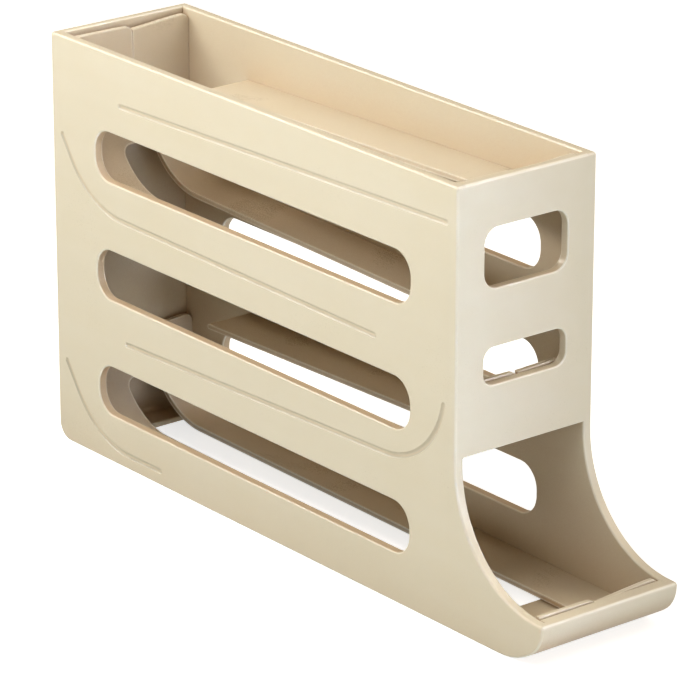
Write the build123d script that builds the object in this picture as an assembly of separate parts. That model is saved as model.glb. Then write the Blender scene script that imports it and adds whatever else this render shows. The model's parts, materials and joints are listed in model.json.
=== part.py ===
from build123d import *
import os
from math import atan2, cos, degrees, hypot, radians, sin, tan

# Rolling egg dispenser of four sloping tiers, in millimetres.
# X runs along the body from the rear wall to the outlet, Y across it, Z up.
# The origin is the middle of the footprint, at the height of the surface it stands on.
# The near side is the side at minus Y, and the far side is the one that pulls off.

# Overall sizes
body_length = 310.0        # from the rear wall to the front wall, outside
outlet_reach = 61.0        # how far the outlet stands out in front of the front wall
width = 82.0
height = 213.0

# Shell
panel_wall = 5.0           # each of the two side panels
front_wall_thickness = 5.0
rear_wall_thickness = 5.0
lip_wall = 7.4             # upright part of the outlet lip
lip_floor = 2.0            # part of the lip that runs back under the lowest runners
lip_height = 23.0
lip_inner_radius = 20.0
lip_tail = 33.6            # how far the lip runs back from its inner bend
lip_end_share = 0.33       # rounding of the tail, of the lip floor's thickness
lip_land = 3.6             # flat top of the lip in front of the panels' scoop
toe_run = 18.0             # the sloping part under the lip starts this far back
toe_rise = 12.2            # and ends this high on its front
toe_rear_radius = 37.0
toe_front_radius = 17.0
heel_radius = 9.0          # under the rear wall
heel_foot = 17.0           # how far the rear wall turns forward along the ground
heel_floor = 3.0
corner_round = 1.6         # corners of the outline at the rims and the lip
edge_round = 1.3           # long outer edges
inner_round = 1.0          # inner edges of the rims and the scoop
window_round = 0.9
outlet_top_rise = 3.2      # lower edge of the front wall above the start of the scoop
cut_overrun = 2.0          # how far a cutting tool reaches past the face that it cuts

# Side windows, three in each panel
side_window_count = 3
side_window_height = 25.8
side_window_rise = 18.2    # bottom of each one above the middle of the floor behind it
side_window_rear_margin = 35.2
side_window_front_margin = 32.4
side_window_corner = 11.5

# Front windows, two in the front wall
front_window_width = 49.0
upper_window_rise = 32.2   # above the middle of tier 2's floor
upper_window_height = 28.9
lower_window_rise = 47.1   # above the middle of tier 3's floor
lower_window_height = 18.2
upper_window_corner = 7.8
lower_window_corner = 6.2

# Tiers, counted from the top
tier_count = 4
lowest_floor = 6.8         # floor of tier 4 at the middle of the body
track_slope = 1.45         # degrees, tiers 1 to 3
base_slope = 0.5           # degrees, tier 4
drop_gap = 52.5            # open end of a tier, above the bend of the tier below
strip_gap = 20.0           # open strip between the near and far runners
runner_thickness = 2.6
runner_side_gap = 0.2
runner_nose = 1.1          # rounding of a runner's free ends
front_plate_gap = 0.4      # between an upturned front end and the front wall
rear_plate_gap = 2.4       # between an upturned rear end and the rear wall
outlet_plate_gap = 0.4     # between the end stop of tier 4 and the lip
split_gap = 0.4            # between the near and far halves of an upturned end
tier_1_split = -2.3        # Y of that split in each tier
tier_2_split = 1.4
tier_3_split = 0.5
tier_4_split = -1.5
rear_turn_radius = 40.0    # bend at the rear, under the open end of the tier above
front_turn_radius = 32.0   # bend at the front, under the open end of the tier above
stop_radius = 17.4         # bend of the end stops of tier 1 and the outlet
stop_straight = 1.7        # upright part of an end stop above its bend
tier_1_stop_drop = 0.4     # the front stop of tier 1 ends this far under the rim
tier_2_plate_drop = 2.0    # the rear plate of tier 2 ends this far under the rim
tier_3_plate_rise = 1.4    # its front plate ends this far above the lower window's sill
tier_4_plate_straight = 3.8    # upright part of its rear plate above the bend
near_half_fall = 0.8       # the near half of an upturned end is this much lower at the split
far_half_dip = 2.6         # and the far half is this much lower there
landing_dip = 1.1          # the same on the front plate of tier 3
near_half_corner = 4.0
far_half_corner = 4.0
slot_climb = 20.0          # the open strip climbs this far up a landing bend
slot_corner = 5.0

# Joints between the pieces
tongue_length = 14.0
tongue_depth = 3.0
tongue_shares = (0.08, 0.36, 0.64, 0.92)   # along a runner's straight floor
peg_radius = 1.4
peg_depth = 3.0
peg_round = 0.4
fit_clearance = 0.08
socket_relief = 0.3        # a socket is this much deeper than what goes in
front_peg_shares = (0.08, 0.51, 0.92)      # of the front wall's height
rear_peg_shares = (0.10, 0.52, 0.93)       # of the body's height
lip_peg_height = 16.0
lip_tongue_length = 16.0
lip_tongue_thickness = 1.4
lip_tongue_inset = 4.0     # from the tail end of the lip

# Trace grooves on the outer faces of the side panels
groove_width = 3.0
groove_depth = 0.8
rear_groove_turn = 55.0    # degrees that a groove's curved rear end rises to
rear_groove_radius = 50.0
front_groove_turn = 77.0
front_groove_radius = 44.0
groove_end_margin = 8.3    # from a curved end to the end of the body
groove_1_rear = 57.0       # from the rear of the body
groove_1_front = 7.6       # from the front of the body
groove_1_rise = 1.1        # middle of each groove above the middle of its tier's floor
groove_1_slope = 1.56      # degrees, up towards the front
groove_2_front = 57.8
groove_2_rise = -0.4
groove_2_slope = -0.69
groove_2_climb = 33.5      # how far its curved end climbs above the middle of the floor
groove_3_rear = 59.6
groove_3_rise = 1.4
groove_3_slope = 1.75
groove_3_climb = 40.2
groove_4_length = 85.6     # from the rear of the body
groove_4_rise = 1.4
groove_4_slope = 0.4
groove_4_climb = 36.6

# Places worked out from the sizes above
half_width = width / 2
inner_half = half_width - panel_wall
lip_x = (body_length + outlet_reach) / 2
front_x = lip_x - outlet_reach
rear_x = front_x - body_length
body_middle_x = (front_x + rear_x) / 2
front_inner_x = front_x - front_wall_thickness
rear_inner_x = rear_x + rear_wall_thickness
lip_inner_x = lip_x - lip_wall
split_ys = {1: tier_1_split, 2: tier_2_split, 3: tier_3_split, 4: tier_4_split}
slopes = {1: track_slope, 2: -track_slope, 3: track_slope, 4: -base_slope}
scoop_radius = outlet_reach - lip_land
outlet_top = lip_height + scoop_radius + outlet_top_rise
runner_side_y = inner_half - runner_side_gap


def closed_xz(points, radii):
    """A closed outline in X and Z whose corners have the given radii."""
    return Plane.XZ * make_face(FilletPolyline(*points, radius=radii, close=True))


def across(face, y_low, y_high):
    """The face of an outline in X and Z, thickened from y_low to y_high."""
    return Pos(0, y_high, 0) * extrude(face, amount=y_high - y_low)


def block(x_low, x_high, y_low, y_high, z_low, z_high):
    size = (x_high - x_low, y_high - y_low, z_high - z_low)
    return Pos(x_low, y_low, z_low) * Box(*size, align=(Align.MIN,) * 3)


def rounded_block(low, high, corner):
    """A block whose edges along Y are rounded."""
    middle = ((low[0] + high[0]) / 2, (low[2] + high[2]) / 2)
    sketch = Pos(*middle) * RectangleRounded(high[0] - low[0], high[2] - low[2], corner)
    return across(Plane.XZ * sketch, low[1], high[1])


rear_plate_x = rear_inner_x + rear_plate_gap + runner_thickness
front_plate_x = front_inner_x - front_plate_gap - runner_thickness
outlet_plate_x = lip_inner_x - outlet_plate_gap - runner_thickness
open_rear_x = rear_inner_x + drop_gap
open_front_x = front_inner_x - drop_gap
tier_1_top = height - tier_1_stop_drop
tier_1_rise = (front_plate_x - body_middle_x) * tan(radians(track_slope))
highest_floor = tier_1_top - stop_straight - stop_radius - tier_1_rise
tier_pitch = (highest_floor - lowest_floor) / (tier_count - 1)


def tier_middle(tier):
    """Height of a tier's rolling surface at the middle of the body."""
    return lowest_floor + (tier_count - tier) * tier_pitch


def tier_floor(tier, x):
    """Height of a tier's rolling surface at x."""
    return tier_middle(tier) + (x - body_middle_x) * tan(radians(slopes[tier]))


def tier_angle(tier):
    """Slope of a tier's floor in degrees, up towards the front."""
    return degrees(atan2(tier_floor(tier, front_x) - tier_floor(tier, rear_x), body_length))


upper_window_bottom = tier_middle(2) + upper_window_rise
lower_window_bottom = tier_middle(3) + lower_window_rise
plate_tops = {
    (1, "front"): tier_1_top,
    (2, "rear"): height - tier_2_plate_drop,
    (3, "front"): lower_window_bottom + tier_3_plate_rise,
    (4, "rear"): tier_floor(4, rear_plate_x) + rear_turn_radius + tier_4_plate_straight,
    (4, "front"): tier_floor(4, outlet_plate_x) + stop_radius + stop_straight,
}
plate_dips = {
    (1, "front"): far_half_dip,
    (2, "rear"): far_half_dip,
    (3, "front"): landing_dip,
    (4, "rear"): far_half_dip,
    (4, "front"): far_half_dip,
}
plate_places = {
    (1, "front"): front_plate_x,
    (2, "rear"): rear_plate_x,
    (3, "front"): front_plate_x,
    (4, "rear"): rear_plate_x,
    (4, "front"): outlet_plate_x,
}
bend_radii = {
    (1, "front"): stop_radius,
    (2, "rear"): rear_turn_radius,
    (3, "front"): front_turn_radius,
    (4, "rear"): rear_turn_radius,
    (4, "front"): stop_radius,
}


def track_points(tier):
    """The rolling surface of a tier as points in X and Z, from rear to front."""
    points = []
    if (tier, "rear") in plate_tops:
        x = plate_places[tier, "rear"]
        points += [(x, plate_tops[tier, "rear"]), (x, tier_floor(tier, x))]
    else:
        points += [(open_rear_x, tier_floor(tier, open_rear_x))]
    if (tier, "front") in plate_tops:
        x = plate_places[tier, "front"]
        points += [(x, tier_floor(tier, x)), (x, plate_tops[tier, "front"])]
    else:
        points += [(open_front_x, tier_floor(tier, open_front_x))]
    return points


def offset_points(points, distance):
    """The same run of points moved to its right by distance, corners mitred."""
    directions = []
    for start, end in zip(points, points[1:]):
        length = hypot(end[0] - start[0], end[1] - start[1])
        directions.append(((end[0] - start[0]) / length, (end[1] - start[1]) / length))
    moved = []
    for index, (x, z) in enumerate(points):
        before = directions[max(index - 1, 0)]
        after = directions[min(index, len(directions) - 1)]
        normal = (before[1] + after[1], -before[0] - after[0])
        scale = distance / (1 + before[0] * after[0] + before[1] * after[1])
        moved.append((x + normal[0] * scale, z + normal[1] * scale))
    return moved


def track_radii(tier, extra):
    ends = [end for end in ("rear", "front") if (tier, end) in bend_radii]
    return [bend_radii[tier, end] + extra for end in ends]


def track_profile(tier):
    """Section of a runner along the body, with rounded free ends."""
    top = track_points(tier)
    under = offset_points(top, runner_thickness)
    radii = [runner_nose] + track_radii(tier, 0) + [runner_nose] * 2
    radii += track_radii(tier, runner_thickness)[::-1] + [runner_nose]
    return closed_xz(top + under[::-1], radii)


def floor_span(tier):
    """Where the straight floor of a tier starts and ends along X."""
    start, end = open_rear_x, open_front_x
    if (tier, "rear") in bend_radii:
        start = plate_places[tier, "rear"] + bend_radii[tier, "rear"]
    if (tier, "front") in bend_radii:
        end = plate_places[tier, "front"] - bend_radii[tier, "front"]
    return start, end


def strip_cut(tier, y_edge):
    """What is cut from a half track between its floor strip and the middle."""
    start, end = floor_span(tier)
    low = min(tier_floor(tier, start), tier_floor(tier, end)) - slot_climb
    high = max(tier_floor(tier, start), tier_floor(tier, end)) + slot_climb
    x_low, x_high = start, end
    if (tier, "rear") not in bend_radii:
        x_low = start - cut_overrun
    elif bend_radii[tier, "rear"] > stop_radius:
        x_low = rear_inner_x
    if (tier, "front") not in bend_radii:
        x_high = end + cut_overrun
    elif bend_radii[tier, "front"] > stop_radius:
        x_high = front_inner_x
    tool = block(x_low, x_high, -y_edge, half_width, low, high)
    corners = tool.edges().filter_by(Axis.X).group_by(Axis.Y)[0].sort_by(Axis.Z)[-1:]
    tool = fillet(corners, slot_corner)
    return tool


def plate_trim(tier, end, outline):
    """Removes what stands outside an upturned end's outline, given in Y and Z."""
    x, top = plate_places[tier, end], plate_tops[tier, end]
    floor = tier_floor(tier, x) + bend_radii[tier, end] / 2
    reach = runner_thickness + cut_overrun
    around = block(x - reach, x + reach, -half_width, half_width, floor, top + cut_overrun)
    sketch = Plane.YZ * outline(tier, end, floor, top)
    kept = Pos(x - reach, 0, 0) * extrude(sketch, amount=2 * reach)
    return around - kept


def near_outline(tier, end, floor, top):
    """Outline of the near half of an upturned end."""
    low_y, high_y = -half_width, split_ys[tier] - split_gap / 2
    points = [(low_y, floor), (low_y, top), (high_y, top - near_half_fall), (high_y, floor)]
    face = make_face(Polyline(*points, close=True))
    corner = face.vertices().sort_by(Axis.X)[-2:].sort_by(Axis.Y)[-1:]
    return fillet(corner, near_half_corner)


def far_outline(tier, end, floor, top):
    """Outline of the far half of an upturned end."""
    low_y, high_y = split_ys[tier] + split_gap / 2, runner_side_y
    low_top = top - plate_dips[tier, end]
    points = [(low_y, floor), (low_y, low_top), (high_y, top), (high_y, floor)]
    face = make_face(Polyline(*points, close=True))
    corner = face.vertices().sort_by(Axis.X)[-2:].sort_by(Axis.Y)[-1:]
    return fillet(corner, far_half_corner)


def tongue_places(tier):
    start, end = floor_span(tier)
    return [start + share * (end - start) for share in tongue_shares]


def tongues(tier, clearance):
    """Tongues on the near edge of a runner, or their sockets when clearance isn't 0."""
    shapes = []
    for x in tongue_places(tier):
        slab = Box(tongue_length + 2 * clearance,
                   tongue_depth + runner_side_gap + (socket_relief if clearance else 0),
                   runner_thickness + 2 * clearance,
                   align=(Align.CENTER, Align.MAX, Align.CENTER))
        z = tier_floor(tier, x) - runner_thickness / 2
        shapes.append(Pos(x, -runner_side_y, z) * Rot(0, -tier_angle(tier), 0) * slab)
    return shapes


def near_runner(tier):
    """The near half of a tier's track, with its tongues."""
    body = across(track_profile(tier), -runner_side_y, split_ys[tier] - split_gap / 2)
    body -= strip_cut(tier, strip_gap / 2)
    for end in ("rear", "front"):
        if (tier, end) in plate_tops:
            body -= plate_trim(tier, end, near_outline)
    for tongue in tongues(tier, 0):
        body += tongue
    return body


def far_runner(tier):
    """The far half of a tier's track, with its tongues."""
    body = across(track_profile(tier), split_ys[tier] + split_gap / 2, runner_side_y)
    body -= mirror(strip_cut(tier, strip_gap / 2), about=Plane.XZ)
    for end in ("rear", "front"):
        if (tier, end) in plate_tops:
            body -= plate_trim(tier, end, far_outline)
    for tongue in tongues(tier, 0):
        body += mirror(tongue, about=Plane.XZ)
    return body


toe_points = [(lip_x, toe_rise), (lip_x - toe_run, 0)]
toe_radii = [toe_front_radius, toe_rear_radius]


def side_outline():
    """Outline of a side panel in X and Z."""
    points = [(rear_x, 0), (rear_x, height), (front_x, height), (front_x, lip_height),
              (lip_x, lip_height)] + toe_points
    radii = [heel_radius, corner_round, corner_round, scoop_radius, corner_round] + toe_radii
    return closed_xz(points, radii)


def side_window(index):
    """The hole of one side window in the near panel, counted from the lowest."""
    low_z = tier_middle(tier_count - index) + side_window_rise
    low = (rear_x + side_window_rear_margin, -half_width - cut_overrun, low_z)
    high = (front_x - side_window_front_margin, -inner_half + cut_overrun,
            low_z + side_window_height)
    return rounded_block(low, high, side_window_corner)


def window_edges(plate, axis):
    """The edges of every window on both faces of a plate that faces along axis."""
    edges = ShapeList()
    for face in (plate.faces().sort_by(axis)[0], plate.faces().sort_by(axis)[-1]):
        for wire in face.inner_wires():
            edges += wire.edges()
    return edges


def groove_z(tier, x):
    """Height of the straight part of a tier's groove at x."""
    rises = {1: groove_1_rise, 2: groove_2_rise, 3: groove_3_rise, 4: groove_4_rise}
    turns = {1: groove_1_slope, 2: groove_2_slope, 3: groove_3_slope, 4: groove_4_slope}
    return tier_middle(tier) + rises[tier] + (x - body_middle_x) * tan(radians(turns[tier]))


def rear_turn_path(tier, climb, end_x):
    """A groove that comes down from the rear and runs forward to end_x."""
    start_x = rear_x + groove_end_margin
    top = tier_middle(tier) + climb
    run = (top - groove_z(tier, start_x)) / tan(radians(rear_groove_turn))
    corner_x = start_x + run
    points = [(start_x, top), (corner_x, groove_z(tier, corner_x)),
              (end_x, groove_z(tier, end_x))]
    return FilletPolyline(*points, radius=rear_groove_radius)


def front_turn_path(tier, climb, start_x):
    """A groove that runs forward from start_x and climbs at the front."""
    end_x = front_x - groove_end_margin
    top = tier_middle(tier) + climb
    run = (top - groove_z(tier, end_x)) / tan(radians(front_groove_turn))
    corner_x = end_x - run
    points = [(start_x, groove_z(tier, start_x)), (corner_x, groove_z(tier, corner_x)),
              (end_x, top)]
    return FilletPolyline(*points, radius=front_groove_radius)


def groove_paths():
    """Centre lines of the four trace grooves, drawn in X and Z."""
    start_1, end_1 = rear_x + groove_1_rear, front_x - groove_1_front
    return [
        Polyline(*[(x, groove_z(1, x)) for x in (start_1, end_1)]),
        rear_turn_path(2, groove_2_climb, front_x - groove_2_front),
        front_turn_path(3, groove_3_climb, rear_x + groove_3_rear),
        rear_turn_path(4, groove_4_climb, rear_x + groove_4_length),
    ]


def grooves():
    """Tools for the four shallow grooves in the near panel's outer face, round in section."""
    radius = ((groove_width / 2) ** 2 + groove_depth ** 2) / (2 * groove_depth)
    middle_y = -half_width - radius + groove_depth
    tools = []
    for flat_path in groove_paths():
        path = Pos(0, middle_y, 0) * (Plane.XZ * flat_path)
        for edge in path.edges():
            section = Plane(edge @ 0, z_dir=edge % 0) * Circle(radius)
            tools.append(sweep(section, path=edge))
        tools += [Pos(*end) * Sphere(radius) for end in (path @ 0, path @ 1)]
    return tools


def corner_tool(path, inward, radius):
    """Sweeps the waste of a rounded edge along a path; inward points out of the panel."""
    square = Rectangle(radius + cut_overrun, radius + cut_overrun,
                       align=(Align.MIN, Align.MIN))
    waste = Pos(-radius, -radius) * (square - Circle(radius))
    return sweep(Plane(path @ 0, x_dir=inward, z_dir=path % 0) * waste, path=path)


def rim_tool():
    """Rounds the inner top edge of the near panel between the end walls."""
    path = Line((rear_inner_x, -inner_half, height), (front_inner_x, -inner_half, height))
    return corner_tool(path, (0, 1, 0), inner_round)


def scoop_tool():
    """Rounds the inner edge of the near panel's scoop."""
    top = (front_x, -inner_half, outlet_top)
    bend = (front_x, -inner_half, lip_height + scoop_radius)
    low = (front_x + scoop_radius, -inner_half, lip_height)
    middle = (front_x + scoop_radius * (1 - cos(radians(45))), -inner_half,
              lip_height + scoop_radius * (1 - sin(radians(45))))
    return corner_tool(Line(top, bend) + ThreePointArc(bend, middle, low), (0, 1, 0), inner_round)


def wall_pegs(x, heights, clearance):
    """Pegs in a row at x, pointing to the near side, or their sockets."""
    shapes = []
    depth = peg_depth + (socket_relief if clearance else 0)
    for z in heights:
        peg = Cylinder(peg_radius + clearance, depth, align=(Align.CENTER, Align.CENTER, Align.MIN))
        if not clearance:
            peg = fillet(peg.edges().group_by(Axis.Z)[-1], peg_round)
        shapes.append(Pos(x, -inner_half, z) * Rot(90, 0, 0) * peg)
    return shapes


front_peg_x = front_x - front_wall_thickness / 2
rear_peg_x = rear_x + rear_wall_thickness / 2
front_peg_heights = [outlet_top + share * (height - outlet_top) for share in front_peg_shares]
rear_peg_heights = [share * height for share in rear_peg_shares]
lip_bend_x = lip_inner_x - lip_inner_radius
lip_peg_x = lip_x - lip_wall / 2


def lip_tongue(clearance):
    """Flat tongue at the tail of the lip, pointing to the near side, or its socket."""
    depth = tongue_depth + (socket_relief if clearance else 0)
    x = lip_bend_x - lip_tail + lip_tongue_inset + lip_tongue_length / 2
    slab = Box(lip_tongue_length + 2 * clearance, depth, lip_tongue_thickness + 2 * clearance,
               align=(Align.CENTER, Align.MAX, Align.CENTER))
    return Pos(x, -inner_half, lip_floor / 2) * slab


def panel_sockets():
    """Every socket in the near panel's inner face."""
    tools = wall_pegs(front_peg_x, front_peg_heights, fit_clearance)
    tools += wall_pegs(rear_peg_x, rear_peg_heights, fit_clearance)
    tools += wall_pegs(lip_peg_x, [lip_peg_height], fit_clearance)
    tools.append(lip_tongue(fit_clearance))
    for tier in range(1, tier_count + 1):
        tools += tongues(tier, fit_clearance)
    return tools


def side_panel():
    """The near side panel; the far one is its mirror image."""
    panel = across(side_outline(), -half_width, -inner_half)
    outer_edges = panel.faces().sort_by(Axis.Y)[0].outer_wire().edges()
    panel = fillet(outer_edges, edge_round)
    for index in range(side_window_count):
        panel -= side_window(index)
    panel = fillet(window_edges(panel, Axis.Y), window_round)
    panel -= rim_tool()
    panel -= scoop_tool()
    for tool in grooves() + panel_sockets():
        panel -= tool
    return panel


def both_sides(shapes):
    return shapes + [mirror(shape, about=Plane.XZ) for shape in shapes]


def front_window(bottom, window_height, corner):
    sketch = RectangleRounded(front_window_width, window_height, corner)
    plane = Plane((front_x + cut_overrun, 0, bottom + window_height / 2), x_dir=(0, 1, 0),
                  z_dir=(1, 0, 0))
    return extrude(plane * sketch, amount=-(front_wall_thickness + 2 * cut_overrun))


def front_wall():
    """Front wall with its two windows, between the side panels."""
    wall = block(front_inner_x, front_x, -inner_half, inner_half, outlet_top, height)
    long_edges = wall.edges().filter_by(Axis.Y)
    top_outer = long_edges.group_by(Axis.Z)[-1].sort_by(Axis.X)[-1:]
    wall = fillet(top_outer, corner_round)
    others = wall.edges().filter_by(Axis.Y).group_by(Axis.Z)
    wall = fillet(others[-1].sort_by(Axis.X)[:1] + others[0], inner_round)
    wall -= front_window(upper_window_bottom, upper_window_height, upper_window_corner)
    wall -= front_window(lower_window_bottom, lower_window_height, lower_window_corner)
    wall = fillet(window_edges(wall, Axis.X), window_round)
    for peg in both_sides(wall_pegs(front_peg_x, front_peg_heights, 0)):
        wall += peg
    return wall


def rear_wall():
    """Rear wall that turns forward under the body, between the side panels."""
    outer = [(rear_x, height), (rear_x, 0), (rear_x + rear_wall_thickness + heel_foot, 0)]
    inner = [(rear_x + rear_wall_thickness + heel_foot, heel_floor), (rear_inner_x, heel_floor),
             (rear_inner_x, height)]
    radii = [corner_round, heel_radius, inner_round, inner_round,
             heel_radius - rear_wall_thickness, inner_round]
    wall = across(closed_xz(outer + inner, radii), -inner_half, inner_half)
    for peg in both_sides(wall_pegs(rear_peg_x, rear_peg_heights, 0)):
        wall += peg
    return wall


def outlet_lip():
    """Low front lip with its floor, between the side panels."""
    tail_x = lip_bend_x - lip_tail
    end_round = lip_end_share * lip_floor
    points = [(tail_x, 0), (tail_x, lip_floor), (lip_inner_x, lip_floor),
              (lip_inner_x, lip_height), (lip_x, lip_height)] + toe_points
    radii = [end_round, end_round, lip_inner_radius, end_round, corner_round] + toe_radii
    lip = across(closed_xz(points, radii), -inner_half, inner_half)
    for shape in both_sides(wall_pegs(lip_peg_x, [lip_peg_height], 0) + [lip_tongue(0)]):
        lip += shape
    return lip


def write_parts():
    os.makedirs("parts", exist_ok=True)
    near_panel = side_panel()
    pieces = {
        "near_side_panel": near_panel,
        "far_side_panel": mirror(near_panel, about=Plane.XZ),
        "front_wall": front_wall(),
        "rear_wall": rear_wall(),
        "outlet_lip": outlet_lip(),
    }
    for tier in range(1, tier_count + 1):
        pieces[f"tier_{tier}_near_runner"] = near_runner(tier)
        pieces[f"tier_{tier}_far_runner"] = far_runner(tier)
    for name, shape in pieces.items():
        export_step(shape, f"parts/{name}.step")
        print(name, len(shape.solids()), "solid", round(shape.volume / 1000, 2), "cm3")


write_parts()
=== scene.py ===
# %% [markdown]
# # A four-tier dispenser, dressed for its picture
# The dispenser is a tall, narrow box of cream plastic. What it stores goes in at the top, rolls
# down four sloping tiers and waits in the scooped outlet at the bottom. Every piece of it is a
# moulding with a real thickness, so the solid model already holds the shapes. What this script
# adds is what solids don't have: the look of satin plastic, the light of a small studio, and a
# camera.

# %% load the solid model
import json
import math

import bpy
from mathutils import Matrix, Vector


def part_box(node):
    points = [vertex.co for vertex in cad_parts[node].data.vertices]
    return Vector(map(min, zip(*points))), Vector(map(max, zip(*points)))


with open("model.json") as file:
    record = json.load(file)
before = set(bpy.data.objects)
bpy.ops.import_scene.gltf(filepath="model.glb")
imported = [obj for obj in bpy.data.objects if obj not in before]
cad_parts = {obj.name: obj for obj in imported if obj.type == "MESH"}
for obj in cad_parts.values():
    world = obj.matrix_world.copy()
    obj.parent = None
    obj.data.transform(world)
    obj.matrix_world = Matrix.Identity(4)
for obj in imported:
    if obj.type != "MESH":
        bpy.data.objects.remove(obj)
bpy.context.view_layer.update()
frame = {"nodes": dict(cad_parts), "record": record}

print("pieces:", sorted(frame["nodes"]))

# %% [markdown]
# ## Measuring instead of guessing
# Wherever a finish follows the shape, such as the painted highlight along a rim, it needs the
# shape's size.

# %% sizes read from the model
near_panel_box = [Vector(corner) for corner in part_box("near_side_panel")]
body_top = near_panel_box[1].z
body_front = near_panel_box[1].x
body_rear = near_panel_box[0].x
seam_place = -near_panel_box[1].y
face_place = -near_panel_box[0].y
lip_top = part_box("outlet_lip")[1][2]
wall_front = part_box("front_wall")[1][0]
windows = [entry["box_m"] for entry in frame["record"]["physics"]["openings"]
           if entry["name"].endswith("near_side_window")]
print("the rim is %.3f m up, the lip %.3f m" % (body_top, lip_top))
print("the lip's front is at X %.4f m" % body_front)
print("the panels meet the walls %.4f m from the middle" % seam_place)
print("the panels' outer faces are %.4f m from the middle" % face_place)
print("each panel has", len(windows), "windows")

# %% [markdown]
# ## Small helpers for node trees
# A material is a tree of nodes joined by links. Adding a node, placing it and joining it takes
# the same few lines each time, so three short helpers do that. The columns keep the tree
# readable when it is opened in the Shader Editor.


# %% helpers for node trees
def add_node(tree, kind, column, row, **settings):
    node = tree.nodes.new(kind)
    node.location = (column * 220, -row * 180)
    for name, value in settings.items():
        setattr(node, name, value)
    return node


def join(tree, source, target):
    tree.links.new(source, target)


def set_inputs(node, **values):
    for name, value in values.items():
        node.inputs[name.replace("_", " ")].default_value = value


def new_group(name, inputs, outputs):
    """An empty node group whose sockets are given as (name, kind, default)."""
    tree = bpy.data.node_groups.new(name, "ShaderNodeTree")
    for socket_name, kind, default in inputs:
        socket = tree.interface.new_socket(socket_name, in_out="INPUT", socket_type=kind)
        if default is not None:
            socket.default_value = default
    for socket_name, kind in outputs:
        tree.interface.new_socket(socket_name, in_out="OUTPUT", socket_type=kind)
    start = add_node(tree, "NodeGroupInput", -5, 0)
    end = add_node(tree, "NodeGroupOutput", 6, 0)
    return tree, start, end


def maths(tree, operation, column, row, a, b, clamp=False):
    """A Math node. Each of a and b is a number or a socket."""
    node = add_node(tree, "ShaderNodeMath", column, row, operation=operation, use_clamp=clamp)
    for index, value in enumerate((a, b)):
        if isinstance(value, (int, float)):
            node.inputs[index].default_value = value
        else:
            join(tree, value, node.inputs[index])
    return node.outputs[0]


def spread(tree, column, row, value, low, high, to_low=0.0, to_high=1.0):
    """A Map Range node that stretches low..high to to_low..to_high, smoothly."""
    node = add_node(tree, "ShaderNodeMapRange", column, row, interpolation_type="SMOOTHSTEP")
    join(tree, value, node.inputs["Value"])
    node.inputs["From Min"].default_value = low
    node.inputs["From Max"].default_value = high
    node.inputs["To Min"].default_value = to_low
    node.inputs["To Max"].default_value = to_high
    return node.outputs["Result"]


print("helpers: add_node, join, set_inputs, new_group, maths, spread")

# %% [markdown]
# ## The skin of a moulding
# A satin moulding isn't smooth. The steel mould is spark-eroded, which leaves a fine pebbled
# skin, and the plastic shrinks a little unevenly as it cools, which leaves long shallow waves.
# Both are heights, so one group makes both from noise and gives a single height. The grain gets
# a size in metres, because noise on Object coordinates is measured in the object's own units.

# %% group: moulded skin
tree, start, end = new_group(
    "moulded_skin",
    [("Vector", "NodeSocketVector", None), ("Pebble size", "NodeSocketFloat", 0.0006),
     ("Wave size", "NodeSocketFloat", 0.03), ("Wave share", "NodeSocketFloat", 0.35)],
    [("Height", "NodeSocketFloat"), ("Pebbles", "NodeSocketFloat")])
pebble_scale = maths(tree, "DIVIDE", -3, 1, 1.0, start.outputs["Pebble size"])
pebbles = add_node(tree, "ShaderNodeTexNoise", -2, 0, noise_dimensions="3D")
set_inputs(pebbles, Detail=3.0, Roughness=0.55)
join(tree, start.outputs["Vector"], pebbles.inputs["Vector"])
join(tree, pebble_scale, pebbles.inputs["Scale"])
wave_scale = maths(tree, "DIVIDE", -3, 3, 1.0, start.outputs["Wave size"])
waves = add_node(tree, "ShaderNodeTexNoise", -2, 2, noise_dimensions="3D")
set_inputs(waves, Detail=1.0, Roughness=0.4)
join(tree, start.outputs["Vector"], waves.inputs["Vector"])
join(tree, wave_scale, waves.inputs["Scale"])
wave_height = maths(tree, "MULTIPLY", 1, 2, waves.outputs["Fac"], start.outputs["Wave share"])
total = maths(tree, "ADD", 2, 1, pebbles.outputs["Fac"], wave_height)
join(tree, total, end.inputs["Height"])
join(tree, pebbles.outputs["Fac"], end.inputs["Pebbles"])
print("group", tree.name, "has", len(tree.nodes), "nodes")

# %% [markdown]
# ## Colour that drifts
# The pigment in a moulding is stirred into the melt and never spreads perfectly. Along the way
# that the plastic flowed, here lengthwise, it leaves very faint clouds and a few long streaks.
# The group stretches one noise along X for the streaks, and mixes it with a round one.

# %% group: pigment clouds
tree, start, end = new_group(
    "pigment_clouds",
    [("Vector", "NodeSocketVector", None), ("Cloud size", "NodeSocketFloat", 0.05),
     ("Streak share", "NodeSocketFloat", 0.4)],
    [("Clouds", "NodeSocketFloat")])
cloud_scale = maths(tree, "DIVIDE", -3, 1, 1.0, start.outputs["Cloud size"])
clouds = add_node(tree, "ShaderNodeTexNoise", -1, 0, noise_dimensions="3D")
set_inputs(clouds, Detail=4.0, Roughness=0.6)
join(tree, start.outputs["Vector"], clouds.inputs["Vector"])
join(tree, cloud_scale, clouds.inputs["Scale"])
stretch = add_node(tree, "ShaderNodeMapping", -3, 3)
stretch.inputs["Scale"].default_value = (0.12, 1.0, 1.6)
join(tree, start.outputs["Vector"], stretch.inputs["Vector"])
streaks = add_node(tree, "ShaderNodeTexNoise", -1, 3, noise_dimensions="3D")
set_inputs(streaks, Detail=2.0, Roughness=0.4)
join(tree, stretch.outputs["Vector"], streaks.inputs["Vector"])
streak_scale = maths(tree, "MULTIPLY", -2, 4, cloud_scale, 3.0)
join(tree, streak_scale, streaks.inputs["Scale"])
blend = add_node(tree, "ShaderNodeMix", 2, 1, data_type="FLOAT")
join(tree, start.outputs["Streak share"], blend.inputs["Factor"])
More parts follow.
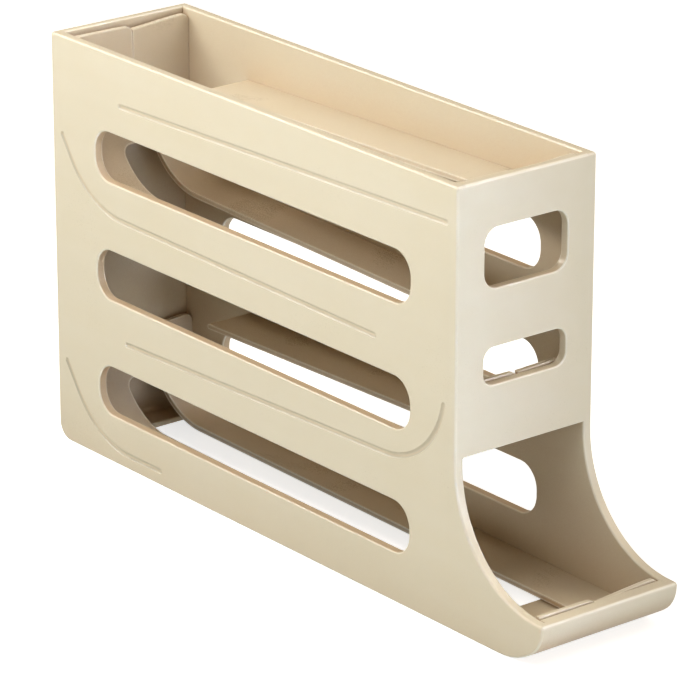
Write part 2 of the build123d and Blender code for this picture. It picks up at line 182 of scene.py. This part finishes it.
join(tree, clouds.outputs["Fac"], blend.inputs["A"])
join(tree, streaks.outputs["Fac"], blend.inputs["B"])
join(tree, spread(tree, 4, 1, blend.outputs["Result"], 0.3, 0.7), end.inputs["Clouds"])
print("group", tree.name, "has", len(tree.nodes), "nodes")

# %% [markdown]
# ## Traces of hands
# A kitchen piece is wiped and carried. Fingers leave soft patches that shine a little more, and
# the cloth and what rolls along the tiers leave hair-fine streaks lengthwise. Both change only
# how sharply the surface reflects, so this group gives one mask for the patches and one for the
# streaks, and the material decides how much each counts. A noise that is drawn out fifty times
# along X makes the streaks, because drawn-out noise has no corners that would look like cracks.

# %% group: handling marks
tree, start, end = new_group(
    "handling_marks",
    [("Vector", "NodeSocketVector", None), ("Patch size", "NodeSocketFloat", 0.035),
     ("Streak size", "NodeSocketFloat", 0.0009)],
    [("Patches", "NodeSocketFloat"), ("Streaks", "NodeSocketFloat")])
patch_scale = maths(tree, "DIVIDE", -3, 0, 1.0, start.outputs["Patch size"])
patches = add_node(tree, "ShaderNodeTexNoise", -1, 0, noise_dimensions="3D")
set_inputs(patches, Detail=1.0, Roughness=0.4)
join(tree, start.outputs["Vector"], patches.inputs["Vector"])
join(tree, patch_scale, patches.inputs["Scale"])
join(tree, spread(tree, 2, 0, patches.outputs["Fac"], 0.48, 0.66), end.inputs["Patches"])
draw_out = add_node(tree, "ShaderNodeMapping", -3, 2)
draw_out.inputs["Scale"].default_value = (0.02, 1.0, 1.0)
join(tree, start.outputs["Vector"], draw_out.inputs["Vector"])
streak_scale = maths(tree, "DIVIDE", -3, 4, 1.0, start.outputs["Streak size"])
hairs = add_node(tree, "ShaderNodeTexNoise", -1, 2, noise_dimensions="3D")
set_inputs(hairs, Detail=1.0, Roughness=0.5)
join(tree, draw_out.outputs["Vector"], hairs.inputs["Vector"])
join(tree, streak_scale, hairs.inputs["Scale"])
join(tree, spread(tree, 2, 3, hairs.outputs["Fac"], 0.56, 0.74), end.inputs["Streaks"])
print("group", tree.name, "has", len(tree.nodes), "nodes")

# %% [markdown]
# ## Painted shade in nooks
# Little light comes out of a nook, and what does has bounced between cream walls and grown warm.
# This group paints that shade, warm and deep, into the colour. An Ambient Occlusion node says how
# open the surroundings of a point are, and this group turns that into a mask. The limits are far
# apart, so that the painted shade fades slowly from the mouth of a channel to its end. The trace
# grooves and roundings in a thin layer under the outer faces look closed to such a node, but they
# are shallow. There the mask has a low value of its own, a little higher where the surface faces
# up, where dust lies and a painted shade darkens the side that the lamps light most.

# %% group: nooks
tree, start, end = new_group(
    "nooks",
    [("Vector", "NodeSocketVector", None), ("Normal", "NodeSocketVector", None),
     ("Openness", "NodeSocketFloat", 1.0), ("Grain", "NodeSocketFloat", 0.5),
     ("Face place", "NodeSocketFloat", 0.041),
     ("Groove depth", "NodeSocketFloat", 0.0011), ("Face skin", "NodeSocketFloat", 0.0001)],
    [("Nook", "NodeSocketFloat")])
# painted shade: closed-in points turn deep and warm; in the thin layer the mask is dust and
# painted shade
shut, open_enough = 0.05, 0.70
side_on, facing_up = -0.10, 0.15
thin_layer_shade, facing_up_dust_and_shade = 0.10, 0.26
closed = spread(tree, -2, 0, start.outputs["Openness"], shut, open_enough, 1.0, 0.0)
patchy = spread(tree, -2, 2, start.outputs["Grain"], 0.2, 0.8, 0.9, 1.0)
place = add_node(tree, "ShaderNodeSeparateXYZ", -4, 4)
join(tree, start.outputs["Vector"], place.inputs[0])
depth = maths(tree, "SUBTRACT", -2, 4, start.outputs["Face place"], maths(
    tree, "ABSOLUTE", -3, 4, place.outputs["Y"], 0.0))
under_face = maths(tree, "GREATER_THAN", -1, 4, depth, start.outputs["Face skin"])
in_groove = maths(tree, "LESS_THAN", -1, 6, depth, start.outputs["Groove depth"])
thin_layer = maths(tree, "MULTIPLY", 0, 5, under_face, in_groove)
facing = add_node(tree, "ShaderNodeSeparateXYZ", -4, 8)
join(tree, start.outputs["Normal"], facing.inputs[0])
thin_layer_dust_and_shade = spread(tree, -2, 8, facing.outputs["Z"], side_on, facing_up, thin_layer_shade, facing_up_dust_and_shade)
choice = add_node(tree, "ShaderNodeMix", 3, 2, data_type="FLOAT")
join(tree, thin_layer, choice.inputs["Factor"])
join(tree, maths(tree, "MULTIPLY", 2, 0, closed, patchy), choice.inputs["A"])
join(tree, thin_layer_dust_and_shade, choice.inputs["B"])
join(tree, choice.outputs["Result"], end.inputs["Nook"])
print("group", tree.name, "has", len(tree.nodes), "nodes")

# %% [markdown]
# ## A painted highlight along a rounded rim
# Every rim and window of the shell is rounded by about a millimetre, and along each rounding the
# eye sees a crisp pale line of light. The colour paints that highlight as a pale line. A rounding
# is where the surface's normal turns from one flat face to the next, so a mask can be made from
# the normal alone, with no drawing by hand. Two helpers are needed first: one for a normal that
# is half-way between two faces, and one for a place that lies past a limit.

# %% helpers for masks of facing and place
leaving, arriving = (0.04, 0.30), (0.86, 0.992)  # parts of a normal at the ends of a rounding


def turning(tree, column, row, part):
    """A mask that is 1 where a normal's part is between square to its face and along it."""
    size = maths(tree, "ABSOLUTE", column, row, part, 0.0)
    leaves = spread(tree, column + 1, row, size, *leaving)
    arrives = spread(tree, column + 1, row + 1, size, *arriving, 1.0, 0.0)
    return maths(tree, "MULTIPLY", column + 2, row, leaves, arrives)


def beyond(tree, column, row, value, limit, soft=0.0002):
    """A mask that turns from 0 to 1 where a value passes a limit."""
    past = maths(tree, "SUBTRACT", column, row, value, limit)
    return spread(tree, column + 1, row, past, -soft, soft)


print("helpers: turning, beyond")

# %% [markdown]
# ## Panels and walls turn different ways
# The panels lie across Y, so on them the line is where the normal is neither along Y nor square
# to it. On the walls between the panels it is the same with X. The group is started here with all
# its sockets, and the next cells add to it. The big bends of the lip turn slowly and get no line,
# so on the walls the line starts a little above the lip.

# %% group: rounded rims, on panels and walls
tree, start, end = new_group(
    "rounded_rims",
    [("Vector", "NodeSocketVector", None), ("Normal", "NodeSocketVector", None),
     ("Grain", "NodeSocketFloat", 0.5), ("Seam place", "NodeSocketFloat", 0.036),
     ("Top", "NodeSocketFloat", 0.2), ("Front", "NodeSocketFloat", 0.2),
     ("Rear", "NodeSocketFloat", -0.2), ("Wall front", "NodeSocketFloat", 0.15),
     ("Lip top", "NodeSocketFloat", 0.02), ("Corner", "NodeSocketFloat", 0.0017),
     ("Window margin", "NodeSocketFloat", 0.0016), ("Window end", "NodeSocketFloat", 0.0118)],
    [("Rim", "NodeSocketFloat"), ("Dust and shade", "NodeSocketFloat"),
     ("Window wall", "NodeSocketFloat")])
place = add_node(tree, "ShaderNodeSeparateXYZ", -4, 0)
join(tree, start.outputs["Vector"], place.inputs[0])
facing = add_node(tree, "ShaderNodeSeparateXYZ", -4, 3)
join(tree, start.outputs["Normal"], facing.inputs[0])

clear_of_lip = 1.2  # times the lip's own height
side = maths(tree, "ABSOLUTE", -3, 0, place.outputs["Y"], 0.0)
on_panel = beyond(tree, -2, 0, side, start.outputs["Seam place"])
on_wall = maths(tree, "SUBTRACT", 0, 0, 1.0, on_panel)
above_lip = beyond(tree, -2, 2, place.outputs["Z"], maths(
    tree, "MULTIPLY", -3, 2, start.outputs["Lip top"], clear_of_lip))
panel_line = maths(tree, "MULTIPLY", 1, 3, turning(tree, -2, 4, facing.outputs["Y"]), on_panel)
wall_line = maths(tree, "MULTIPLY", 1, 6, turning(tree, -2, 7, facing.outputs["X"]), on_wall)
wall_line = maths(tree, "MULTIPLY", 2, 6, wall_line, above_lip)
print("panels and walls:", len(tree.nodes), "nodes")

# %% [markdown]
# ## The corners of the outline
# The rounding just under the rim and the one at the lip's front run into big faces, where a
# normal alone would mark too much. They are found by their place as well: within the width of a
# corner under the top, or behind the foremost point, and only where the surface faces up and
# forward at once.

# %% group: rounded rims, at the corners
up_and_forward = (0.28, 0.47)
top_start = maths(tree, "SUBTRACT", -3, 10, start.outputs["Top"], start.outputs["Corner"])
front_start = maths(tree, "SUBTRACT", -3, 12, start.outputs["Front"], start.outputs["Corner"])
at_top = beyond(tree, -2, 10, place.outputs["Z"], top_start)
at_front = beyond(tree, -2, 12, place.outputs["X"], front_start)
at_corner = maths(tree, "MAXIMUM", 0, 11, at_top, at_front)
upward = maths(tree, "MULTIPLY", -1, 14, facing.outputs["Z"], maths(
    tree, "ABSOLUTE", -2, 14, facing.outputs["X"], 0.0))
corner_line = maths(tree, "MULTIPLY", 1, 12, at_corner, spread(
    tree, 0, 14, upward, *up_and_forward))
print("with the corners:", len(tree.nodes), "nodes")

# %% [markdown]
# ## Most painted highlight where the lamps light least
# Roundings that face down get the strongest painted highlight, because the lamps leave them in
# shade. Those that face up are lit anyway and need least, and upright ones lie between. At the
# toe, in front of the wall and below the lip, the real line is hardly seen, so most of it is
# taken away there.

# %% group: rounded rims, how strong
upright_weight, upward_weight, toe_loss = 0.45, 0.32, 0.7
facing_down, leaning = (-0.45, 0.0), (0.05, 0.40)
lip_blur = 0.002
downward = spread(tree, -1, 16, facing.outputs["Z"], *facing_down, 1.0, 0.0)
level = spread(tree, -1, 17, maths(tree, "ABSOLUTE", -2, 17, facing.outputs["Z"], 0.0),
               *leaning, upright_weight, upward_weight)
at_wall = beyond(tree, -2, 19, place.outputs["X"], maths(
    tree, "SUBTRACT", -3, 19, start.outputs["Wall front"], start.outputs["Corner"]))
below_lip = maths(tree, "SUBTRACT", 0, 20, 1.0, beyond(
    tree, -2, 20, place.outputs["Z"], start.outputs["Lip top"], lip_blur))
toe = maths(tree, "MULTIPLY", 1, 19, at_wall, below_lip)
share = maths(tree, "MAXIMUM", 0, 16, downward, level)
share = maths(tree, "MULTIPLY", 2, 17, share, maths(
    tree, "SUBTRACT", 2, 19, 1.0, maths(tree, "MULTIPLY", 1, 20, toe, toe_loss)))
print("with the weights:", len(tree.nodes), "nodes")

# %% [markdown]
# ## Telling windows from grooves
# The trace grooves turn their normals too, but they have no pale line. So on the panels the line
# is kept to the neighbourhood of the outline and of the windows. Where the windows are is read
# from the openings that the record of the part states. Those boxes stop where the rounded ends of
# a window start, so they are stretched lengthwise by the length of an end.

# %% group: rounded rims, near the outline and the windows
at_rear = beyond(tree, -2, 22, start.outputs["Rear"], maths(
    tree, "SUBTRACT", -3, 22, place.outputs["X"], start.outputs["Corner"]))
at_ground = beyond(tree, -2, 24, start.outputs["Corner"], place.outputs["Z"])
near_edge = maths(tree, "MAXIMUM", 0, 22, at_rear, at_ground)
near_edge = maths(tree, "MAXIMUM", 0, 24, near_edge, maths(
    tree, "MAXIMUM", -1, 23, at_top, at_wall))
round_ends = maths(tree, "ADD", -3, 25, start.outputs["Window margin"],
                   start.outputs["Window end"])
in_window = None
for index, (low, high) in enumerate(windows):
    row = 26 + 2 * index
    inside = None
    for axis, name, margin in ((0, "X", round_ends), (2, "Z", start.outputs["Window margin"])):
        middle = (low[axis] + high[axis]) / 2
        half_length = (high[axis] - low[axis]) / 2
        off_middle = maths(tree, "ABSOLUTE", -3, row, maths(
            tree, "SUBTRACT", -4, row, place.outputs[name], middle), 0.0)
        past = maths(tree, "SUBTRACT", -2, row, off_middle, half_length)
        close = maths(tree, "LESS_THAN", -1, row, past, margin)
        inside = close if inside is None else maths(tree, "MULTIPLY", 0, row, inside, close)
    in_window = inside if in_window is None else maths(
        tree, "MAXIMUM", 1, row, in_window, inside)
near_edge = maths(tree, "MAXIMUM", 2, 26, near_edge, in_window)
print("with", len(windows), "windows:", len(tree.nodes), "nodes")

# %% [markdown]
# ## Dust and painted shade in the grooves, painted half-shade in the windows
# What is left over on the panels is the grooves. A second mask marks their sides that face up,
# where grey dust lies and a painted shade darkens the side that the lamps light most. A third
# marks the cut walls inside the windows and paints on them the warm half-shade of the channels.

# %% group: rounded rims, dust and painted shade, window walls
facing_up = (0.0, 0.35)
off_face = spread(tree, 1, 34, maths(tree, "ABSOLUTE", 0, 34, facing.outputs["Y"], 0.0),
                  *leaving, 1.0, 0.0)
# painted half-shade on the cut walls inside the windows
window_wall = maths(tree, "MULTIPLY", 2, 34, off_face, maths(
    tree, "MULTIPLY", 1, 36, in_window, on_panel))
join(tree, window_wall, end.inputs["Window wall"])
# dust and painted shade on the grooves' sides that face up
dust_and_shade = maths(tree, "MULTIPLY", 3, 1, panel_line, maths(tree, "SUBTRACT", 2, 1, 1.0, near_edge))
dust_and_shade = maths(tree, "MULTIPLY", 4, 1, dust_and_shade, spread(tree, 3, 2, facing.outputs["Z"], *facing_up))
join(tree, dust_and_shade, end.inputs["Dust and shade"])
print("with dust and window walls:", len(tree.nodes), "nodes")

# %% [markdown]
# ## One mask out of all
# The strongest of the three lines counts at each point, and the result is the painted highlight.
# The windows of the walls have a line that is nearly even all round, so there the weight never
# falls below a floor. At the end the grain breaks the painted highlight up a little, so that it
# isn't even.

# %% group: rounded rims, put together
wall_floor, corner_weight = 0.85, 0.6
panel_line = maths(tree, "MULTIPLY", 2, 4, panel_line, near_edge)
panel_line = maths(tree, "MULTIPLY", 3, 4, panel_line, share)
wall_line = maths(tree, "MULTIPLY", 3, 5, wall_line, maths(
    tree, "MAXIMUM", 2, 8, share, wall_floor))
line = maths(tree, "MAXIMUM", 3, 6, panel_line, wall_line)
line = maths(tree, "MAXIMUM", 4, 6, line, maths(
    tree, "MULTIPLY", 3, 12, corner_line, corner_weight))
uneven = spread(tree, 3, 9, start.outputs["Grain"], 0.25, 0.75, 0.82, 1.0)
# the Rim output is the painted highlight along the roundings
join(tree, maths(tree, "MULTIPLY", 5, 6, line, uneven), end.inputs["Rim"])
print("group", tree.name, "has", len(tree.nodes), "nodes")

# %% [markdown]
# ## A painted highlight on the runners' edges
# The runners' edges get a pale painted highlight too. They are cut square along their open strip,
# so their edges have no rounding that a normal could tell. An Ambient Occlusion node that looks
# inside the wall finds them instead: next to an edge the inside is thin. The side that is held in
# a panel has no free edge, so the mask ends before it.

# %% group: painted highlight on the runners' edges
tree, start, end = new_group(
    "runner_edge_highlight",
    [("Vector", "NodeSocketVector", None), ("Inner openness", "NodeSocketFloat", 1.0),
     ("Grain", "NodeSocketFloat", 0.5), ("Seam place", "NodeSocketFloat", 0.036),
     ("Seam margin", "NodeSocketFloat", 0.0016)],
    [("Edge", "NodeSocketFloat")])
place = add_node(tree, "ShaderNodeSeparateXYZ", -4, 0)
join(tree, start.outputs["Vector"], place.inputs[0])
side = maths(tree, "ABSOLUTE", -3, 0, place.outputs["Y"], 0.0)
held_from = maths(tree, "SUBTRACT", -3, 2, start.outputs["Seam place"],
                  start.outputs["Seam margin"])
free = maths(tree, "SUBTRACT", 1, 0, 1.0, beyond(tree, -2, 1, side, held_from))
thin = spread(tree, -2, 4, start.outputs["Inner openness"], 0.74, 0.98, 1.0, 0.0)
uneven = spread(tree, -2, 6, start.outputs["Grain"], 0.25, 0.75, 0.5, 1.0)
# the edge mask paints a highlight along the runners' free edges
edge = maths(tree, "MULTIPLY", 2, 3, maths(tree, "MULTIPLY", 1, 4, thin, uneven), free)
join(tree, edge, end.inputs["Edge"])
print("group", tree.name, "has", len(tree.nodes), "nodes")

# %% [markdown]
# ## Cream plastic
# The shell and the runners are the same satin plastic with a faint warm glow inside, so one
# recipe can make both. A recipe places the node groups from above in a material and mixes their
# masks with colours. Two helpers do these steps: one places a group, the other mixes two colours.

# %% helpers for a recipe
def link_group(tree, group_name, column, row, vector=None, **values):
    """Places a node group in a tree and sets those of its inputs that are named."""
    node = add_node(tree, "ShaderNodeGroup", column, row)
    node.node_tree = bpy.data.node_groups[group_name]
    node.name = group_name
    for name, value in values.items():
        node.inputs[name.replace("_", " ")].default_value = value
    if vector is not None:
        join(tree, vector, node.inputs["Vector"])
    return node


def mix_colour(tree, column, row, factor, a, b):
    """Mixes two colours by a mask. Each of a and b is a colour or a socket."""
    node = add_node(tree, "ShaderNodeMix", column, row, data_type="RGBA")
    join(tree, factor, node.inputs["Factor"])
    for name, value in (("A", a), ("B", b)):
        socket = [s for s in node.inputs if s.name == name and s.type == "RGBA"][0]
        if isinstance(value, tuple):
            socket.default_value = value
        else:
            join(tree, value, socket)
    return [s for s in node.outputs if s.type == "RGBA"][0]


print("groups to place:", sorted(group.name for group in bpy.data.node_groups))

# %% [markdown]
# ## Two ways to find an edge
# Both plastics get a painted highlight along their edges, and how the edges are found differs
# between them. The shell's are rounded, so their normals tell. The runners' are square, so the
# thin wall tells. Each way is a function of its own that gives the same three masks, and the
# recipe is handed the one that it should use.

# %% two ways to find an edge
edge_reach = 0.0009


def rim_lines(tree, vector, grain):
    """The shell's painted edge highlight, dust and painted shade: by the turn of its normals."""
    geometry = add_node(tree, "ShaderNodeNewGeometry", -9, 5)
    rims = link_group(tree, "rounded_rims", -6, 6, vector, Seam_place=seam_place,
                      Top=body_top, Front=body_front, Rear=body_rear,
                      Wall_front=wall_front, Lip_top=lip_top)
    join(tree, geometry.outputs["Normal"], rims.inputs["Normal"])
    join(tree, grain, rims.inputs["Grain"])
    return [rims.outputs[name] for name in ("Rim", "Dust and shade", "Window wall")]


def runner_highlight_lines(tree, vector, grain):
    """The runners' way to find their painted edge highlight: by how thin the plastic is there.

    They have no grooves and no windows, so the other two masks are left out.
    """
    inside = add_node(tree, "ShaderNodeAmbientOcclusion", -9, 5, samples=6, inside=True,
                      only_local=True)
    set_inputs(inside, Distance=edge_reach)
    edges = link_group(tree, "runner_edge_highlight", -6, 6, vector, Seam_place=seam_place)
    join(tree, inside.outputs["AO"], edges.inputs["Inner openness"])
    join(tree, grain, edges.inputs["Grain"])
    return [edges.outputs["Edge"], None, None]


print("ways to find an edge: rim_lines, runner_highlight_lines")

# %% [markdown]
# ## The colour of the plastic
# The clouds mix two creams. Over that go the painted shade of the nooks with a deeper tone, the
# dust and painted shade of the grooves with a grey, the painted half-shade of the window walls
# with some of the nooks' tone, and last the painted highlight of the edges with the palest cream.
# Each mask has a most that it may reach, so that the cream below is never quite hidden.

# %% the recipe's colour
# the masks paint shade in nooks and window walls, dust and shade in grooves, and a highlight on
# edges
most = {"nook": 0.85, "dust_and_shade": 0.5, "window wall": 0.55, "edge": 0.9}
dust_and_shade_grey = (0.37, 0.365, 0.30, 1)
nook_reach = 0.08


def find_nooks(tree, vector, grain):
    """A mask of painted shade in the nooks, from how open the surroundings of a point are."""
    around = add_node(tree, "ShaderNodeAmbientOcclusion", -9, 7, samples=6)
    set_inputs(around, Distance=nook_reach)
    geometry = add_node(tree, "ShaderNodeNewGeometry", -9, 9)
    nooks = link_group(tree, "nooks", -6, 8, vector, Face_place=face_place)
    join(tree, geometry.outputs["Normal"], nooks.inputs["Normal"])
    join(tree, around.outputs["AO"], nooks.inputs["Openness"])
    join(tree, grain, nooks.inputs["Grain"])
    return nooks.outputs["Nook"]


def plastic_colour(tree, vector, grain, find_edges, cream, warm_cream, rim_cream, nook_cream):
    clouds = link_group(tree, "pigment_clouds", -6, 2, vector)
    colour = mix_colour(tree, -3, 2, clouds.outputs["Clouds"], cream, warm_cream)
    edge, dust_and_shade, window_wall = find_edges(tree, vector, grain)
    nook = find_nooks(tree, vector, grain)
    layers = [("nook", nook, nook_cream), ("dust_and_shade", dust_and_shade, dust_and_shade_grey),
              ("window wall", window_wall, nook_cream), ("edge", edge, rim_cream)]
    for index, (name, mask, tone) in enumerate(layers):
        if mask is not None:
            share = maths(tree, "MULTIPLY", -4, 6 + 2 * index, mask, most[name])
            colour = mix_colour(tree, -2 + index, 3 + index, share, colour, tone)
    return colour


print("masks over the creams:", ", ".join(most))

# %% [markdown]
# ## The sheen of the plastic
# Roughness starts from one value. The pebbles of the skin shift it up and down, the patches that
# hands leave make it shinier, and the fine streaks make it duller.

# %% the recipe's roughness
in_pits, on_tops = -0.04, 0.05
patch_shine, streak_dullness = 0.06, 0.04


def plastic_roughness(tree, vector, grain, roughness):
    marks = link_group(tree, "handling_marks", -6, 4, vector)
    rough = spread(tree, -3, 0, grain, 0.2, 0.8, roughness + in_pits, roughness + on_tops)
    shine = maths(tree, "MULTIPLY", -3, 5, marks.outputs["Patches"], patch_shine)
    rough = maths(tree, "SUBTRACT", -1, 0, rough, shine)
    dull = maths(tree, "MULTIPLY", -3, 6, marks.outputs["Streaks"], streak_dullness)
    return maths(tree, "ADD", 0, 0, rough, dull, clamp=True)


print("helper: plastic_roughness")

# %% [markdown]
# ## The whole recipe
# The Principled BSDF takes the colour, the roughness and the relief of the skin. A little of the
# light goes under the surface, more of the red than of the blue, which keeps shadows on plastic
# soft and warm.

# %% the recipe for cream plastic
relief_depth = 0.0002
glow_depths = (0.006, 0.0045, 0.003)  # of red, green and blue light, before the scale


def cream_plastic(name, find_edges, roughness, bump, **creams):
    material = bpy.data.materials.new(name)
    material.use_nodes = True
    tree = material.node_tree
    tree.nodes.clear()
    vector = add_node(tree, "ShaderNodeTexCoord", -9, 0).outputs["Object"]
    skin = link_group(tree, "moulded_skin", -6, 0, vector)
    grain = skin.outputs["Pebbles"]
    relief = add_node(tree, "ShaderNodeBump", 1, 3)
    set_inputs(relief, Strength=bump, Distance=relief_depth)
    join(tree, skin.outputs["Height"], relief.inputs["Height"])

    plastic = add_node(tree, "ShaderNodeBsdfPrincipled", 3, 1)
    join(tree, plastic_colour(tree, vector, grain, find_edges, **creams),
         plastic.inputs["Base Color"])
    join(tree, plastic_roughness(tree, vector, grain, roughness), plastic.inputs["Roughness"])
    join(tree, relief.outputs["Normal"], plastic.inputs["Normal"])
    plastic.inputs["IOR"].default_value = 1.53
    plastic.inputs["Subsurface Weight"].default_value = 0.08
    plastic.inputs["Subsurface Radius"].default_value = glow_depths
    plastic.inputs["Subsurface Scale"].default_value = 0.5
    out = add_node(tree, "ShaderNodeOutputMaterial", 5, 1)
    join(tree, plastic.outputs["BSDF"], out.inputs["Surface"])
    print("material", name, "has", len(tree.nodes), "nodes")
    return material


# %% [markdown]
# ## Two batches of the same cream
# The panels, walls and lip are the outer mouldings. The runners are separate, slightly thinner
# mouldings, and a batch of pigment never matches another one exactly. So the runners get the
# same recipe with a slightly warmer and smoother setting. The colours are linear values.

# %% mix the two plastics
# the palest cream paints the edge highlight; the deep tone paints shade in nooks and window walls
shell_plastic = cream_plastic(
    "satin_cream_shell", rim_lines,
    cream=(0.69, 0.62, 0.48, 1), warm_cream=(0.675, 0.60, 0.45, 1),
    rim_cream=(0.92, 0.88, 0.76, 1), nook_cream=(0.42, 0.245, 0.105, 1),
    roughness=0.36, bump=0.22)
runner_plastic = cream_plastic(
    "satin_cream_runner", runner_highlight_lines,
    cream=(0.68, 0.60, 0.455, 1), warm_cream=(0.665, 0.58, 0.43, 1),
    rim_cream=(0.86, 0.80, 0.68, 1), nook_cream=(0.41, 0.235, 0.10, 1),
    roughness=0.33, bump=0.16)

# %% [markdown]
# ## Dressing the pieces
# Each solid keeps its shape and gets its plastic through its material slot. The record of the
# part names a slot for each piece, so the script asks the record which plastic a piece takes.

# %% give every piece its plastic
plastics = {"shell_plastic": shell_plastic, "runner_plastic": runner_plastic}
slot_of = {entry["node"]: entry["material_slot"] for entry in frame["record"]["subparts"]}
for node_name, piece in frame["nodes"].items():
    piece.data.materials.clear()
    piece.data.materials.append(plastics[slot_of[node_name]])
print("dressed", len(frame["nodes"]), "pieces")

# %% [markdown]
# ## The table
# The dispenser stands on a wide sheet of plain white paper. The picture should end in clean
# white, but a floor that bright would throw its light back at the panels from below, where the
# real ones are darker. A Light Path node tells the two uses apart: rays from the camera see white
# paper, and all other rays meet a dimmer one.

# %% the white sheet
def by_camera(tree, column, row, seen, lit):
    """One colour for what the camera sees, another for what lights the object."""
    path = add_node(tree, "ShaderNodeLightPath", column, row)
    return mix_colour(tree, column + 1, row, path.outputs["Is Camera Ray"], lit, seen)


bpy.ops.object.select_all(action="DESELECT")
bpy.ops.mesh.primitive_plane_add(size=60.0, location=(0, 0, 0))
sheet = bpy.context.object
sheet.name = "studio_sheet"
paper = bpy.data.materials.new("studio_paper")
paper.use_nodes = True
paper_shader = paper.node_tree.nodes["Principled BSDF"]
paper_colour = by_camera(paper.node_tree, -4, 0, (0.80, 0.80, 0.80, 1), (0.50, 0.46, 0.39, 1))
paper_glow = by_camera(paper.node_tree, -4, 2, (0.68, 0.69, 0.70, 1), (0.31, 0.39, 0.43, 1))
join(paper.node_tree, paper_colour, paper_shader.inputs["Base Color"])
join(paper.node_tree, paper_glow, paper_shader.inputs["Emission Color"])
paper_shader.inputs["Emission Strength"].default_value = 1.0
paper_shader.inputs["Roughness"].default_value = 0.9
sheet.data.materials.append(paper)
print("the sheet is %.0f m wide" % sheet.dimensions.x)

# %% [markdown]
# ## Studio light
# Large soft lights make the long even gradients of a product picture. A long low key light along
# the near side brightens the upper panel, one overhead light fills the top, and a light behind
# the rear end draws the rim. A large one on the far side lights the front wall, a small low one
# lifts the lip under it, and a narrow strip brightens the wall's near edge. A light's size
# decides how soft its shadow is, its power how bright.


# %% helper for a soft light
def soft_light(name, place, target, size, power, colour):
    data = bpy.data.lights.new(name, "AREA")
    data.shape = "RECTANGLE"
    data.size, data.size_y = size
    data.energy = power
    data.color = colour
    light = bpy.data.objects.new(name, data)
    bpy.context.scene.collection.objects.link(light)
    light.location = place
    aim = Vector(target) - Vector(place)
    light.rotation_euler = aim.to_track_quat("-Z", "Y").to_euler()
    light.visible_camera = False
    return light


print("helper: soft_light")

# %% [markdown]
# ## Light on the near side, the top and the rear
# The key light is long and low, because only a lamp of the panel's own length lights it evenly.
# The one overhead is far away and large, and the one behind the rear end draws the rim there.

# %% lights from the near side and above
soft_light("key_light", place=(-0.05, -0.36, 0.50), target=(0, -0.04, 0.17),
           size=(1.0, 0.12), power=3.15, colour=(1.0, 0.99, 0.97))
soft_light("overhead_light", place=(-0.45, -0.35, 2.0), target=(0, 0, 0.1),
           size=(2.2, 2.2), power=3.9, colour=(1.0, 0.91, 0.70))
soft_light("rear_rim_light", place=(-0.92, -0.48, 0.90), target=(0, 0, 0.12),
           size=(0.7, 0.5), power=6.7, colour=(1.0, 0.91, 0.80))
print("lights so far:", len(bpy.data.lights))

# %% [markdown]
# ## Light on the front
# A warm one and a cool low one share the front wall and the lip. The strip is narrow in width and
# in spread, so that it brightens the wall's near edge and nothing else.

# %% lights from the front
soft_light("front_rim_light", place=(0.55, 0.78, 1.05), target=(0.1, 0, 0.15),
           size=(1.1, 1.1), power=8.9, colour=(1.0, 0.83, 0.67))
soft_light("front_low_light", place=(1.15, 0.40, 0.22), target=(0.15, 0, 0.08),
           size=(0.5, 0.3), power=4.7, colour=(0.78, 0.85, 1.0))
front_strip = soft_light("front_strip", place=(0.95, -0.09, 0.2), target=(0.1245, -0.07, 0.15),
                         size=(0.04, 0.5), power=0.095, colour=(0.66, 0.77, 1.0))
front_strip.data.spread = math.radians(16)
print("lights:", sorted(light.name for light in bpy.data.lights))

# %% [markdown]
# ## The air of the studio
# Past the paper the camera looks into the world. It is white to the camera, as the paper is, and
# dim to everything else, where it only lifts the shadows.

# %% white air
world = bpy.data.worlds.new("studio_air")
bpy.context.scene.world = world
world.use_nodes = True
air = world.node_tree.nodes["Background"]
air_colour = by_camera(world.node_tree, -4, 0, (1.0, 1.0, 1.0, 1), (0.089, 0.083, 0.069, 1))
join(world.node_tree, air_colour, air.inputs["Color"])
air.inputs["Strength"].default_value = 1.0

# %% [markdown]
# ## The camera
# The picture was taken from well in front of the near corner, a little above the rim, with a
# long lens. A long lens from far away keeps parallel edges nearly parallel. The place, the turn
# and the lens below were fitted to the body's straight edges.

# %% the camera
camera_data = bpy.data.cameras.new("product_camera")
camera = bpy.data.objects.new("product_camera", camera_data)
bpy.context.scene.collection.objects.link(camera)
camera.location = (1.5580, -1.2511, 0.8381)
looks_down, turned_left = 20.38, 51.40  # degrees
camera.rotation_euler = (math.radians(90 - looks_down), 0, math.radians(turned_left))
camera_data.sensor_fit = "HORIZONTAL"
camera_data.sensor_width = 36.0
camera_data.lens = 237.83
camera_data.clip_start = 0.05
camera_data.clip_end = 30.0
bpy.context.scene.camera = camera
bpy.context.scene.view_settings.view_transform = "Standard"
print("the camera stands %.2f m away" % camera.location.length)
